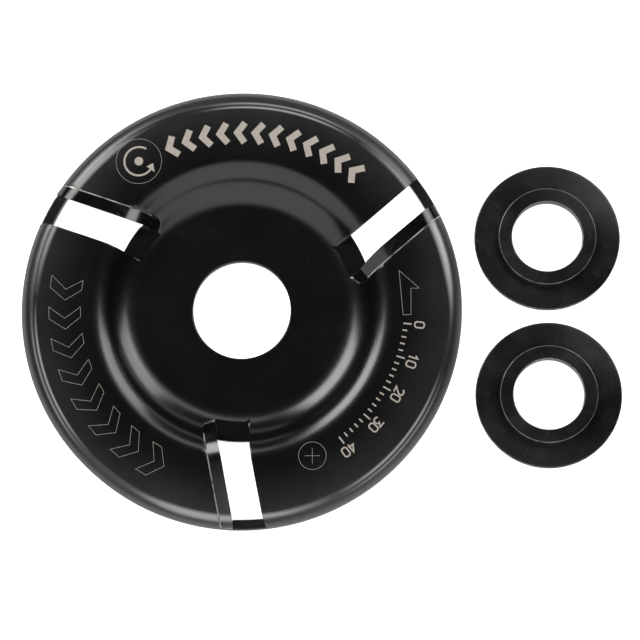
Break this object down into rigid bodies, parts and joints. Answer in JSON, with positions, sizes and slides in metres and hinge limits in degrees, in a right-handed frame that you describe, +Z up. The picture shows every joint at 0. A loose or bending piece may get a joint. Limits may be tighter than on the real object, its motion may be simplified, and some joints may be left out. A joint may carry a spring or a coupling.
{
  "type": "angle grinder carving disc",
  "caption": "Round black steel carving disc with a recessed bored hub, a raised ridge crossed by open slots with brazed carbide cutting tips, and loose flanged reducing rings.",
  "frame": {"origin": "middle of the ground that the disc and the two rings cover, at the surface they lie on; the disc's axis is at x -18.0 mm, y 0", "axes": "+Z up along the disc's axis, out of its working side; +X from the disc towards the rings; +Y completes the right hand and points up in the picture"},
  "size_m": [0.136, 0.1, 0.008],
  "materials": {
    "coated_steel": "smooth black coating, satin to gloss",
    "coated_carbide": "ground carbide under the same black coating",
    "braze_alloy": "pale silver braze, smooth",
    "blackened_steel": "blackened turned steel, satin, lightly scuffed"
  },
  "bodies": {
    "disc": {"disc_body": "coated_steel", "carbide_tip_1": "coated_carbide", "carbide_tip_2": "coated_carbide", "carbide_tip_3": "coated_carbide", "braze_foil_1": "braze_alloy", "braze_foil_2": "braze_alloy", "braze_foil_3": "braze_alloy"},
    "ring_1": {"reducing_ring_1": "blackened_steel"},
    "ring_2": {"reducing_ring_2": "blackened_steel"}
  },
  "joints": [
    {"name": "ring_1_lift", "type": "slide", "parent": "disc", "child": "ring_1", "axis": [0, 0, 1], "range_m": [0, 0.03]},
    {"name": "ring_2_lift", "type": "slide", "parent": "disc", "child": "ring_2", "axis": [0, 0, 1], "range_m": [0, 0.03]}
  ]
}
